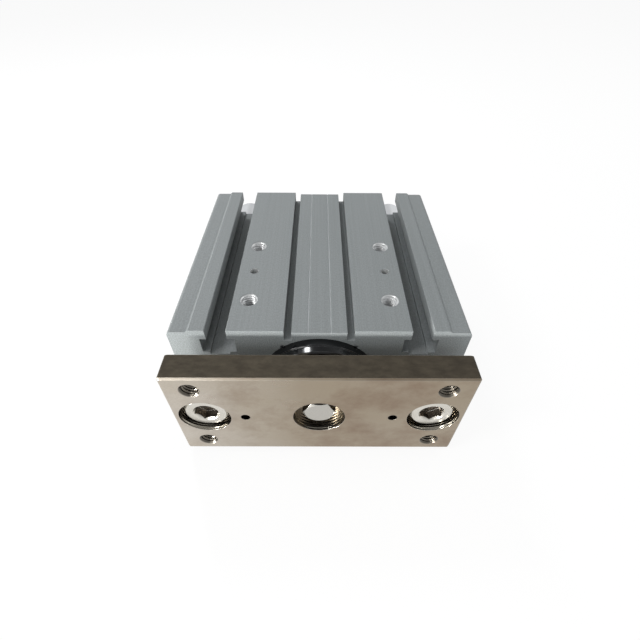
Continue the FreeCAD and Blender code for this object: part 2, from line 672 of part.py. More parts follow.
def makeRodCover():
    # One profile carries the nose, the puller groove, both ring grooves and the air space.
    cover = newBody("rod_cover", height="made.axisHeight")
    nose, plug = "made.noseRad", "made.halfBore - dims.fitGap"
    front = "-dims.noseOut"
    ringFloor = "made.halfBore + dims.snapRingGrip - dims.snapRingWidth - 4 * dims.fitGap"
    ringEnd = "made.snapEnd"
    sealFloor = "made.halfBore - dims.coverSeal"
    sealEnd = "made.coverSealEnd"
    relief = "made.halfBore - dims.reliefDepth"
    reliefPlace = "made.reliefPlace"
    turned(cover, [("made.sealRad", front), (f"{nose} - dims.noseChamfer", front),
                   (nose, f"{front} + dims.noseChamfer"),
                   (nose, "-dims.noseGroovePlace - dims.noseGroove"),
                   (f"{nose} - dims.noseGroove", "-dims.noseGroovePlace"),
                   (nose, "-dims.noseGroovePlace + dims.noseGroove"), (nose, "0"), (plug, "0"),
                   (plug, "dims.snapLand"), (ringFloor, "dims.snapLand"),
                   (ringFloor, ringEnd), (plug, ringEnd),
                   (plug, "made.coverSealPlace"), (sealFloor, "made.coverSealPlace"),
                   (sealFloor, sealEnd), (plug, sealEnd),
                   (plug, reliefPlace), (relief, reliefPlace), (relief, "made.rodCoverDepth"),
                   ("made.rodBushRad", "made.rodCoverDepth"), ("made.rodBushRad", "made.sealSeat"),
                   ("made.sealRad", "made.sealSeat")])

    ring = newBody("rod_cover_snap_ring", along="dims.snapLand + dims.fitGap",
                   height="made.axisHeight")
    outer = "made.halfBore + dims.snapRingGrip"
    inner, width = f"{outer} - dims.snapRingWidth", "dims.snapRing - 2 * dims.fitGap"
    turned(ring, [(inner, "0"), (outer, "0"), (outer, width), (inner, width)],
           angle="360 - dims.splitAngle")

    staticRing("rod_cover_oring", sealFloor, "made.halfBore",
               "made.coverSealPlace + dims.coverSealGroove / 2")

    bush = newBody("rod_bush", along="made.sealSeat", height="made.axisHeight")
    bearing, outer = "dims.rodDia / 2 + dims.runGap", "made.rodBushRad - dims.fitGap"
    length = "made.rodCoverDepth - made.sealSeat"
    turned(bush, [(bearing, "0"), (outer, "0"), (outer, length), (bearing, length)])

    # U-shaped rod seal with a wiper lip at the front
    seal = newBody("rod_seal", along=front, height="made.axisHeight")
    wall, deep = "dims.sealWall", "dims.sealLength"
    lip = "dims.rodDia / 2 + dims.runGap"
    turned(seal, [(lip, f"{deep} * 0.1"), (f"{lip} + {wall} * 0.18", "0"),
                  (f"{lip} + {wall} * 0.5", f"{deep} * 0.06"), ("made.sealRad - dims.fitGap", f"{deep} * 0.06"),
                  ("made.sealRad - dims.fitGap", deep), (f"{lip} + {wall} * 0.75", deep),
                  (f"{lip} + {wall} * 0.45", f"{deep} * 0.65"), (f"{lip} + {wall} * 0.2", f"{deep} * 0.9"),
                  (lip, f"{deep} * 0.75"), (f"{lip} + {wall} * 0.15", f"{deep} * 0.6"),
                  (f"{lip} + {wall} * 0.15", f"{deep} * 0.25")])

    bumper = newBody("rod_side_bumper", along="made.rodCoverDepth", height="made.axisHeight")
    inner, outer = "dims.rodBumperHole / 2", "dims.rodBumperDia / 2"
    turned(bumper, [(inner, "0"), (outer, "0"), (outer, "dims.rodBumper"), (inner, "dims.rodBumper")])


def makeHeadCover():
    # Local Y is counted from the cover's outer face towards the front, so it is negative.
    outside = "made.bodyLength - made.headCoverBack"
    cover = newBody("head_cover", along=outside, height="made.axisHeight")
    plug, boss, dish = "made.headSeatRad", "dims.headBossDia / 2", "dims.headDishDia / 2"
    sealFloor = f"{plug} - dims.headSeal"
    sealMiddle = "-dims.headFlange / 2"
    inner = "-dims.headFlange - dims.headBoss"
    turned(cover, [("0", "-dims.headDish"), (f"{dish} - dims.headDish", "-dims.headDish"), (dish, "0"),
                   (plug, "0"), (plug, f"{sealMiddle} + dims.headSealGroove / 2"),
                   (sealFloor, f"{sealMiddle} + dims.headSealGroove / 2"),
                   (sealFloor, f"{sealMiddle} - dims.headSealGroove / 2"),
                   (plug, f"{sealMiddle} - dims.headSealGroove / 2"), (plug, "-dims.headFlange"),
                   (boss, "-dims.headFlange"), (boss, inner), ("0", inner)])

    staticRing("head_cover_oring", sealFloor, f"{plug} + dims.fitGap", f"{outside} - dims.headFlange / 2")

    bumper = newBody("head_side_bumper", along=f"{outside} + {inner} - dims.headBumper",
                     height="made.axisHeight")
    radius = "dims.headBumperDia / 2"
    turned(bumper, [("0", "0"), (radius, "0"), (radius, "dims.headBumper"), ("0", "dims.headBumper")])

    # internal retaining ring: a flat ring, widest opposite its gap, with a drilled lug at each end
    ring = newBody("head_cover_retaining_ring", along=f"{outside} + dims.fitGap", height="made.axisHeight")
    outerRad = "made.headSeatRad + dims.headRingGrip"
    gapAngle, lugAngle = "dims.splitAngle / 2", "dims.splitAngle"
    flat = newSketch(ring, "flat", "XZ_Plane")
    circle(flat, ("0", "0"), f"2 * ({outerRad})")
    circle(flat, ("0", "-dims.headRingWidth / 6"), f"2 * ({outerRad} - dims.headRingWidth * 5 / 6)")
    pad(ring, flat, "dims.headRing")
    for sign in ("-", ""):
        lug = newSketch(ring, "lug_left" if sign else "lug_right", "XZ_Plane")
        lugRad = f"({outerRad} - dims.headRingGrip - dims.headRingLug - dims.fitGap)"
        spot = (f"{sign}{lugRad} * sin({lugAngle} * 1 deg)", f"{lugRad} * cos({lugAngle} * 1 deg)")
        circle(lug, spot, "2 * dims.headRingLug")
        pad(ring, lug, "dims.headRing")
        eye = newSketch(ring, "eye_left" if sign else "eye_right", "XZ_Plane")
        circle(eye, spot, "dims.headRingHole")
        pocket(ring, eye, "dims.headRing")
    gap = newSketch(ring, "gap", "XZ_Plane")
    reach = f"{outerRad} + dims.headRingGrip"
    side = f"({reach}) * tan({gapAngle} * 1 deg)"
    outline(gap, [("0", "0"), (side, reach), (f"-{side}", reach)])
    pocket(ring, gap, "dims.headRing")


def makePiston():
    piston = newBody("piston", along="made.pistonFront", height="made.axisHeight")
    spigot, outer = "dims.spigotDia / 2 + dims.fitGap", "made.pistonRad"
    room = f"{spigot} + dims.gasketSection"
    rivet, rivetPlace = "dims.rivetDia / 2", "made.pistonLength - dims.rivetDepth"
    grooves = []
    for place, length, depth in (("dims.frontLand", "dims.pistonSeal", "dims.pistonSealDepth"),
                                 ("made.magnetPlace", "dims.magnetLength", "dims.magnetDepth"),
                                 ("made.wearPlace", "dims.wearLength", "dims.wearDepth")):
        floor, end = f"made.halfBore - {depth}", f"{place} + {length}"
        grooves += [(outer, place), (floor, place), (floor, end), (outer, end)]
    edge = "dims.rodChamfer"
    turned(piston, [(room, "0"), (f"{outer} - {edge}", "0"), (outer, edge)] + grooves
           + [(outer, f"made.pistonLength - {edge}"), (f"{outer} - {edge}", "made.pistonLength"),
              (rivet, "made.pistonLength"), (rivet, rivetPlace), (spigot, rivetPlace),
              (spigot, "dims.gasketSection"), (room, "dims.gasketSection")])

    staticRing("piston_gasket", "dims.spigotDia / 2", room, "made.pistonFront + dims.gasketSection / 2")

    for label, place, length, depth, gap in (
            ("magnet_ring", "made.magnetPlace", "dims.magnetLength", "dims.magnetDepth", "dims.pistonGap"),
            ("wear_ring", "made.wearPlace", "dims.wearLength", "dims.wearDepth", "dims.runGap")):
        ring = newBody(label, along=f"made.pistonFront + {place} + dims.fitGap", height="made.axisHeight")
        inner, outside = f"made.halfBore - {depth} + dims.fitGap", f"made.halfBore - {gap}"
        width = f"{length} - 2 * dims.fitGap"
        turned(ring, [(inner, "0"), (outside, "0"), (outside, width), (inner, width)])

    # two-lipped piston seal
    seal = newBody("piston_seal", along="made.pistonFront + dims.frontLand + dims.fitGap",
                   height="made.axisHeight")
    inner, lip = "made.halfBore - dims.pistonSealDepth + dims.fitGap", "made.halfBore - dims.runGap"
    width = "(dims.pistonSeal - 2 * dims.fitGap)"
    dip = "made.halfBore - dims.pistonSealDepth * 0.45"
    turned(seal, [(inner, "0"), (dip, "0"), (lip, f"{width} * 0.1"), (lip, f"{width} * 0.25"),
                  (dip, f"{width} * 0.4"), (dip, f"{width} * 0.6"), (lip, f"{width} * 0.75"),
                  (lip, f"{width} * 0.9"), (dip, width), (inner, width)])

    # rod: shoulder against the piston, spigot through it, end riveted over into the recess
    rod = newBody("piston_rod", along="made.plateBack", height="made.axisHeight")
    radius, shoulder = "dims.rodDia / 2", "-made.plateBack + made.pistonFront"
    end = f"{shoulder} + made.pistonLength - dims.fitGap"
    flare = f"{shoulder} + {rivetPlace} + dims.fitGap"
    thread, bottom = "dims.boltDia / 2 + dims.fitGap", "dims.boltGrip + dims.drillTip"
    turned(rod, [(thread, "0"), (f"{radius} - dims.rodChamfer", "0"), (radius, "dims.rodChamfer"),
                 (radius, shoulder), ("dims.spigotDia / 2", shoulder), ("dims.spigotDia / 2", flare),
                 (f"{rivet} - dims.fitGap", flare), (f"{rivet} - dims.fitGap", end), ("0", end),
                 ("0", f"{bottom} + ({thread}) / 2"), (thread, bottom)])


def makePortPlug(name, along):
    # taper plug with a hexagon socket, a little below the body's side
    plug = newBody(name, "made.bodySide - dims.plugInset", along, "dims.sidePortHeight", kept=False)
    outer, inner = "dims.portDia / 2 - dims.fitGap", "dims.portDia / 2 - dims.fitGap - dims.plugTaper"
    turned(plug, [("0", "0"), ("0", outer), ("-dims.plugLength", inner), ("-dims.plugLength", "0")],
           axis="H_Axis")
    socket = newSketch(plug, "socket", "YZ_Plane")
    hexagon(socket, "dims.plugKey")
    pocket(plug, socket, "dims.plugKeyDepth")
    return plug


makeCylinderBody()
makeFrontPlate()
makeGroup("guide_bolts", [makeGuideScrew(side, across, corner) for (side, across), corner
                          in zip(guideSides(), (12, 30))])
makePlateBolt()
for guideSide, guidePlace in guideSides():
    makeGuide(guideSide, guidePlace)
makeRodCover()
makeHeadCover()
makePiston()
makeGroup("side_port_plugs", [makePortPlug("side_plug_front", "made.frontPort"),
                              makePortPlug("side_plug_rear", "made.rearPort")])
doc.recompute()

for item in doc.Objects:
    if "Invalid" in item.State or "Error" in item.State:
        raise RuntimeError(f"{item.Name} failed: {item.State}")
for piece in subParts:
    if piece.Shape.isNull() or not piece.Shape.isValid() or not piece.Shape.Solids:
        raise RuntimeError(f"{piece.Label} has no valid shape")

os.makedirs("parts", exist_ok=True)
for piece in subParts:
    piece.Shape.exportStep(f"parts/{piece.Label}.step")
    print(f"{piece.Label}: {len(piece.Shape.Solids)} solid(s), {piece.Shape.Volume:.1f} mm3")
print(f"{len(subParts)} files, body length {worth('made.bodyLength'):.2f} mm")
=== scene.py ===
import json
import math
import bmesh
import bpy
from mathutils import Matrix, Vector


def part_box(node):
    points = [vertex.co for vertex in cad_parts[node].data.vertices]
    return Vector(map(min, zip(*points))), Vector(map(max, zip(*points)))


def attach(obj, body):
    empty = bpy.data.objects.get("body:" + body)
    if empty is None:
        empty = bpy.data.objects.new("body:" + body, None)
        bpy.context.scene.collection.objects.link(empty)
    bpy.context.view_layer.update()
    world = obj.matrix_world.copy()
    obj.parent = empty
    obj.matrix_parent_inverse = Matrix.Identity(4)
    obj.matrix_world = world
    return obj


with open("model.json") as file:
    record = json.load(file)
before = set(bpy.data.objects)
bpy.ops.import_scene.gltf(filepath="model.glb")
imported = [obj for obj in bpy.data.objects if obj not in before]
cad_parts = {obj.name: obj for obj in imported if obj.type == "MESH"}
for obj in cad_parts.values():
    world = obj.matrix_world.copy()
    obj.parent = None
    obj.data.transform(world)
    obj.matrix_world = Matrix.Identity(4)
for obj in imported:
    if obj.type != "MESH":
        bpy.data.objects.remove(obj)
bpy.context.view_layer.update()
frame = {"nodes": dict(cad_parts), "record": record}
nodes = frame["nodes"]
mm = 0.001                      # lengths here are in metres
print("frame loaded:", len(nodes), "nodes")


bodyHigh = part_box("cylinder_body")[1]
plateLow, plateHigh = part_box("front_plate")
rodLow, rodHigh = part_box("guide_rod_left")
axisHeight = ((rodLow + rodHigh) / 2).z
mounts = {item["name"]: item for item in frame["record"]["mounts"]}


def newTree(owner):
    owner.use_nodes = True
    owner.node_tree.nodes.clear()
    return owner.node_tree


def put(tree, kind, inputs=None, **settings):
    # adds a node; a socket as an input value is linked, anything else is written into the input
    item = tree.nodes.new(kind)
    for name, value in settings.items():
        setattr(item, name, value)
    for key, value in (inputs or {}).items():
        if isinstance(value, bpy.types.NodeSocket):
            tree.links.new(value, item.inputs[key])
        else:
            item.inputs[key].default_value = value
    return item


def mathNode(tree, operation, first, second=0.0, clamp=False):
    item = put(tree, "ShaderNodeMath", {0: first, 1: second}, operation=operation, use_clamp=clamp)
    return item.outputs[0]


def vectorNode(tree, operation, first, second=None):
    inputs = {0: first} if second is None else {0: first, 1: second}
    item = put(tree, "ShaderNodeVectorMath", inputs, operation=operation)
    return item.outputs["Value" if operation in ("DOT_PRODUCT", "LENGTH") else "Vector"]


def rangeNode(tree, value, span, result=(0.0, 1.0)):
    # carries span onto result, and stays at the nearer end outside it
    return put(tree, "ShaderNodeMapRange", {"Value": value, "From Min": span[0], "From Max": span[1],
                                            "To Min": result[0], "To Max": result[1]}).outputs["Result"]


def mixColour(tree, share, first, second, blend="MIX"):
    # colours are given as three numbers or as a socket; the node takes them in its inputs 6 and 7
    mix = put(tree, "ShaderNodeMix", {"Factor": share}, data_type="RGBA", blend_type=blend)
    for index, value in ((6, first), (7, second)):
        if isinstance(value, bpy.types.NodeSocket):
            tree.links.new(value, mix.inputs[index])
        else:
            mix.inputs[index].default_value = (*value, 1.0)
    return mix.outputs[2]


def mixNumber(tree, share, first, second):
    # the same node takes numbers in its inputs 2 and 3
    return put(tree, "ShaderNodeMix", {"Factor": share, 2: first, 3: second}).outputs[0]


def greyShade(tree, colour, level, span, shade):
    # makes a colour darker and lighter by shade, where level runs from one end of span to the other
    share = rangeNode(tree, level, span, (1.0 - shade, 1.0 + shade))
    grey = put(tree, "ShaderNodeCombineColor", {0: share, 1: share, 2: share}).outputs[0]
    return mixColour(tree, 1.0, colour, grey, "MULTIPLY")


def noiseNode(tree, place, scale, stretch=(1.0, 1.0, 1.0), detail=3.0, roughness=0.5):
    # scale counts features per metre; stretch above 1 packs them closer along that axis
    spread = vectorNode(tree, "MULTIPLY", place, stretch)
    return put(tree, "ShaderNodeTexNoise", {"Vector": spread, "Scale": scale, "Detail": detail,
                                            "Roughness": roughness}).outputs["Fac"]


def splitAxes(tree, vector):
    return put(tree, "ShaderNodeSeparateXYZ", {0: vector}).outputs


def axisSize(tree, vector, axis):
    return mathNode(tree, "ABSOLUTE", splitAxes(tree, vector)[axis])


# what a finish has unless its own dictionary says otherwise
commonLook = {
    "grainStretch": (1.0, 1.0, 1.0), "patchStretch": (1.0, 1.0, 1.0), "patchDetail": 4.0,
    "patchSpan": (0.35, 0.68), "grainSpan": (0.38, 0.66), "roughSpan": (0.3, 0.7),
    "edgeSpan": (0.995, 0.86),  # cosine between the rounded and the flat normal, where the edge's wear and painted highlight are none and full
    "edgeSamples": 6, "edgeRadius": 0.2 * mm, "bump": 0.2, "bumpDepth": 0.03 * mm,
    "metallic": 0.0, "refraction": 1.5, "specular": 0.5, "coat": 0.0, "coatRoughness": 0.1,
}


def edgeNode(tree, look):
    # 1 along convex and concave edges, 0 on open faces
    bevel = put(tree, "ShaderNodeBevel", {"Radius": look["edgeRadius"]},
                samples=look["edgeSamples"]).outputs[0]
    flat = put(tree, "ShaderNodeNewGeometry").outputs["Normal"]
    return rangeNode(tree, vectorNode(tree, "DOT_PRODUCT", bevel, flat), look["edgeSpan"]), bevel


def newMaterial(name, look):
    # grain, patches and lightened edges, part wear and part painted highlight, shared by every finish;
    # the caller may change the colour on the way
    material = bpy.data.materials.new(name)
    tree = newTree(material)
    coords = put(tree, "ShaderNodeTexCoord").outputs
    grain = noiseNode(tree, coords["Object"], look["grainScale"], look["grainStretch"])
    patches = noiseNode(tree, coords["Object"], look["patchScale"], look["patchStretch"],
                        look["patchDetail"])
    colour = mixColour(tree, rangeNode(tree, patches, look["patchSpan"]), look["colour"],
                       look["patchColour"])
    edges, bevel = edgeNode(tree, look)
    bump = put(tree, "ShaderNodeBump", {"Strength": look["bump"], "Distance": look["bumpDepth"],
                                        "Height": grain, "Normal": bevel}).outputs[0]
    return {"material": material, "tree": tree, "place": coords["Object"], "normal": coords["Normal"],
            "colour": greyShade(tree, colour, grain, look["grainSpan"], look["grainShade"]),
            "edges": mathNode(tree, "MULTIPLY", edges, look["edgeWearAndHighlight"]), "bump": bump,
            "rough": rangeNode(tree, patches, look["roughSpan"], look["roughness"]),
            "metal": look["metallic"]}


def closeMaterial(made, look):
    # joins the parts of a finish in one shader
    tree = made["tree"]
    # the edges take a lighter colour that is partly wear and partly a painted highlight
    colour = mixColour(tree, made["edges"], made["colour"], look["edgeWearAndHighlightColour"])
    shader = put(tree, "ShaderNodeBsdfPrincipled",
                 {"Base Color": colour, "Roughness": made["rough"], "Normal": made["bump"],
                  "Metallic": made["metal"], "IOR": look["refraction"],
                  "Specular IOR Level": look["specular"], "Coat Weight": look["coat"],
                  "Coat Roughness": look["coatRoughness"]})
    put(tree, "ShaderNodeOutputMaterial", {"Surface": shader.outputs[0]})
    return made["material"]


def boredHoles(tree, offset, name, reach):
    # 1 in a pattern's holes and up to reach beyond their walls; offset counts from the pattern's middle
    dims = mounts[name]["dims"]
    corner = (dims["spacing_x_mm"] * mm / 2, dims.get("spacing_y_mm", 0.0) * mm / 2, 0.0)
    mirrored = vectorNode(tree, "ABSOLUTE", vectorNode(tree, "MULTIPLY", offset, (1.0, 1.0, 0.0)))
    away = vectorNode(tree, "LENGTH", vectorNode(tree, "SUBTRACT", mirrored, corner))
    radius = dims["hole_r_mm"] * mm
    return rangeNode(tree, away, (radius + 2 * reach, radius + reach))


anodisedLook = {
    **commonLook,
    "colour": (0.190, 0.205, 0.207), "patchColour": (0.206, 0.221, 0.223), "grainShade": 0.09,
    "grainScale": 1500.0, "grainStretch": (1.0, 0.6, 1.0), "patchScale": 22.0,
    "patchStretch": (1.0, 0.35, 1.0), "roughness": (0.50, 0.58), "bump": 0.16,
    "bumpDepth": 0.04 * mm, "edgeRadius": 0.35 * mm, "edgeWearAndHighlight": 0.18,
    "edgeWearAndHighlightColour": (0.38, 0.40, 0.405), "specular": 0.18,
    # the lines left by extrusion
    "streakScale": 1300.0, "streakStretch": (1.0, 0.006, 1.0), "streakDetail": 2.0,
    "streakSpan": (0.3, 0.7), "streakShade": 0.045,
    # the sawn and milled ends, told by how far a face looks along Y
    "endSpan": (0.85, 0.97), "sawnColour": (0.250, 0.271, 0.274), "speckScale": 1700.0,
    "speckDetail": 2.0, "speckSpan": (0.38, 0.64), "speckShade": 0.20,
    # the two fine lines on the top, lightened as a painted highlight; the depths are counted from the
    # top face
    "markPlace": 6.1 * mm, "markHalf": 0.45 * mm, "lineHighlightColour": (0.33, 0.35, 0.355),
    "markDepth": 2.5 * mm, "markFullDepth": 2.0 * mm,
    # the drilled holes; level tells their walls from the flat face round them
    "boredColour": (0.62, 0.63, 0.63), "boredRoughness": 0.30, "boredMetal": 0.5,
    "screwRim": 0.4 * mm, "dowelRim": 0.3 * mm, "levelSpan": (0.95, 0.85),
}


def makeAnodised():
    # extruded faces carry fine lines along Y; the sawn and milled ends are more speckled
    look = anodisedLook
    made = newMaterial("anodised_aluminium", look)
    tree, place, normal = made["tree"], made["place"], made["normal"]
    streaks = noiseNode(tree, place, look["streakScale"], look["streakStretch"], look["streakDetail"])
    lined = greyShade(tree, made["colour"], streaks, look["streakSpan"], look["streakShade"])
    specks = noiseNode(tree, place, look["speckScale"], detail=look["speckDetail"])
    sawn = greyShade(tree, look["sawnColour"], specks, look["speckSpan"], look["speckShade"])
    endShare = rangeNode(tree, axisSize(tree, normal, "Y"), look["endSpan"])
    # the two fine lines along the middle strip get a painted highlight, lighter than the face round
    # them
    spot = splitAxes(tree, place)
    away = mathNode(tree, "SUBTRACT", mathNode(tree, "ABSOLUTE", spot["X"]), look["markPlace"])
    beside = rangeNode(tree, mathNode(tree, "ABSOLUTE", away), (look["markHalf"], look["markHalf"] / 2))
    near = rangeNode(tree, spot["Z"],
                     (bodyHigh.z - look["markDepth"], bodyHigh.z - look["markFullDepth"]))
    body = mixColour(tree, mathNode(tree, "MULTIPLY", beside, near),
                     mixColour(tree, endShare, lined, sawn), look["lineHighlightColour"])
    # the walls of the screw and dowel holes are bare metal, because they are drilled after anodising
    bare = mathNode(tree, "MAXIMUM", boredHoles(tree, place, "body_screws", look["screwRim"]),
                    boredHoles(tree, place, "body_dowels", look["dowelRim"]))
    upright = rangeNode(tree, axisSize(tree, normal, "Z"), look["levelSpan"])
    bare = mathNode(tree, "MULTIPLY", bare, upright)
    made["colour"] = mixColour(tree, bare, body, look["boredColour"])
    made["rough"] = mixNumber(tree, bare, made["rough"], look["boredRoughness"])
    made["metal"] = rangeNode(tree, bare, (0.0, 1.0), (look["metallic"], look["boredMetal"]))
    return closeMaterial(made, look)


nickelPlateLook = {
    **commonLook,
    "colour": (0.54, 0.495, 0.435), "patchColour": (0.47, 0.42, 0.35), "grainShade": 0.05,
    "grainScale": 2200.0, "grainStretch": (0.5, 1.0, 1.0), "patchScale": 34.0,
    "patchStretch": (1.0, 1.0, 1.25), "roughness": (0.27, 0.36), "bump": 0.18,
    "edgeRadius": 0.4 * mm, "edgeWearAndHighlight": 0.20, "edgeWearAndHighlightColour": (0.68, 0.65, 0.59), "metallic": 1.0,
    # the front gets a painted shade that grows darker and browner from left to right, away from the
    # light, and brown stain clouds lie over it
    "rightwardShade": (0.30, 0.245, 0.175), "rightwardShadeShare": 0.85, "rightwardShadeSpan": (-76 * mm, -8 * mm),
    "stain": (0.215, 0.150, 0.102), "stainScale": 29.0, "stainStretch": (1.0, 1.0, 1.2),
    "stainDetail": 6.0, "stainRoughness": 0.62, "stainSpan": (0.45, 0.64), "stainShare": 0.72,
    "stainLeft": 0.30,
    # the narrow sides, told by their place and by how far a face looks along Y
    "sideBand": 0.6 * mm, "acrossSpan": (0.85, 0.4), "sideShadeColour": (0.080, 0.067, 0.048),
    "sideShadePatch": (0.052, 0.043, 0.031), "sideMetal": 0.8, "sideRoughness": 0.72,
    "mottleScale": 230.0, "mottleStretch": (0.6, 1.0, 1.0), "mottleDetail": 6.0,
    "mottleRoughness": 0.6, "mottleSpan": (0.36, 0.66),
    # the bores
    "holeColour": (0.52, 0.50, 0.46), "holeRoughness": 0.14, "ringPitch": 1.7 * mm,
    "ringDepth": 0.10 * mm, "holeShadeColour": (0.10, 0.09, 0.075), "tappedRim": 0.65 * mm,
    "dowelRim": 0.1 * mm,
}


def makeNickelPlate():
    # ground front and back; the narrow sides keep a duller, browner skin, painted much darker as a dark
    # reflection
    look = nickelPlateLook
    made = newMaterial("nickel_plate", look)
    tree, place = made["tree"], made["place"]
    spot = splitAxes(tree, place)
    # painted shade: the front turns darker and browner from left to right; the stain clouds thin out
    # towards the left along the same ramp
    rightwardShade = rangeNode(tree, spot["X"], look["rightwardShadeSpan"])
    clouds = noiseNode(tree, place, look["stainScale"], look["stainStretch"], look["stainDetail"],
                       look["stainRoughness"])
    clouds = mathNode(tree, "MULTIPLY", rangeNode(tree, clouds, look["stainSpan"]),
                      rangeNode(tree, rightwardShade, (0.0, 1.0), (look["stainLeft"], 1.0)))
    face = mixColour(tree, mathNode(tree, "MULTIPLY", rightwardShade, look["rightwardShadeShare"]), made["colour"],
                     look["rightwardShade"])
    face = mixColour(tree, mathNode(tree, "MULTIPLY", clouds, look["stainShare"]), face, look["stain"])
    # bands along the four narrow sides
    halfWidth, halfHeight = (plateHigh.x - plateLow.x) / 2, (plateHigh.z - plateLow.z) / 2
    band = look["sideBand"]
    sideways = mathNode(tree, "ABSOLUTE", spot["X"])
    height = mathNode(tree, "ABSOLUTE", mathNode(tree, "SUBTRACT", spot["Z"], axisHeight))
    wide = rangeNode(tree, sideways, (halfWidth - 2 * band, halfWidth - band))
    tall = rangeNode(tree, height, (halfHeight - 2 * band, halfHeight - band))
    across = rangeNode(tree, axisSize(tree, made["normal"], "Y"), look["acrossSpan"])
    sideShare = mathNode(tree, "MULTIPLY", mathNode(tree, "MAXIMUM", wide, tall), across)
    mottle = noiseNode(tree, place, look["mottleScale"], look["mottleStretch"], look["mottleDetail"],
                       look["mottleRoughness"])
    # painted dark reflection on the narrow sides, mottled
    sideShadeAndSkin = mixColour(tree, rangeNode(tree, mottle, look["mottleSpan"]), look["sideShadePatch"],
                     look["sideShadeColour"])
    # the bores are smooth, with fine tool rings; the tapped and the dowel holes get a painted shade
    # inside
    holeShare = mathNode(tree, "SUBTRACT", across, sideShare, True)
    offset = put(tree, "ShaderNodeCombineXYZ", {0: spot["X"], 1: height}).outputs[0]
    holeShade = mathNode(tree, "MAXIMUM", boredHoles(tree, offset, "plate_screws", look["tappedRim"]),
                    boredHoles(tree, offset, "plate_dowels", look["dowelRim"]))
    colour = mixColour(tree, holeShare, mixColour(tree, sideShare, face, sideShadeAndSkin), look["holeColour"])
    # painted shade inside the tapped and dowel holes
    made["colour"] = mixColour(tree, holeShade, colour, look["holeShadeColour"])
    turns = mathNode(tree, "SINE", mathNode(tree, "MULTIPLY", spot["Y"], math.tau / look["ringPitch"]))
    ringed = mathNode(tree, "SUBTRACT", holeShare, holeShade, True)
    made["bump"] = put(tree, "ShaderNodeBump", {"Strength": ringed, "Distance": look["ringDepth"],
                                                "Height": rangeNode(tree, turns, (-1.0, 1.0)),
                                                "Normal": made["bump"]}).outputs[0]
    rough = mixNumber(tree, holeShare, made["rough"], look["holeRoughness"])
    made["rough"] = mixNumber(tree, sideShare, rough, look["sideRoughness"])
    made["metal"] = rangeNode(tree, sideShare, (0.0, 1.0), (look["metallic"], look["sideMetal"]))
    return closeMaterial(made, look)


screwLook = {
    **commonLook,
    "colour": (0.68, 0.655, 0.60), "patchColour": (0.60, 0.575, 0.515), "grainShade": 0.04,
    "grainScale": 1900.0, "patchScale": 120.0, "roughness": (0.20, 0.28), "bump": 0.15,
    "edgeRadius": 0.3 * mm, "edgeWearAndHighlight": 0.6, "edgeWearAndHighlightColour": (0.88, 0.86, 0.82), "metallic": 1.0,
    # the middle bolt is duller; beside it the dull finish ends between these two distances
    "dullColour": (0.47, 0.455, 0.42), "dullReach": (2 * mm, 1 * mm),
    # the sockets get a painted shade, darker by depth behind the guide bolts' faces
    "socketShadeColour": (0.22, 0.20, 0.175), "socketShadeDepth": (0.4 * mm, 1.6 * mm),
}


def makeScrewNickel():
    # what lies behind the heads' faces, such as the sockets, gets a painted shade; the middle bolt is
    # duller
    look = screwLook
    made = newMaterial("nickel_screw", look)
    tree, place = made["tree"], made["place"]
    middle = rangeNode(tree, axisSize(tree, place, "X"),
                       [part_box("plate_bolt")[1].x + reach for reach in look["dullReach"]])
    socketShade = rangeNode(tree, splitAxes(tree, place)["Y"],
                     [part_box("guide_bolts")[0].y + depth for depth in look["socketShadeDepth"]])
    colour = mixColour(tree, middle, made["colour"], look["dullColour"])
    made["colour"] = mixColour(tree, socketShade, colour, look["socketShadeColour"])
    return closeMaterial(made, look)


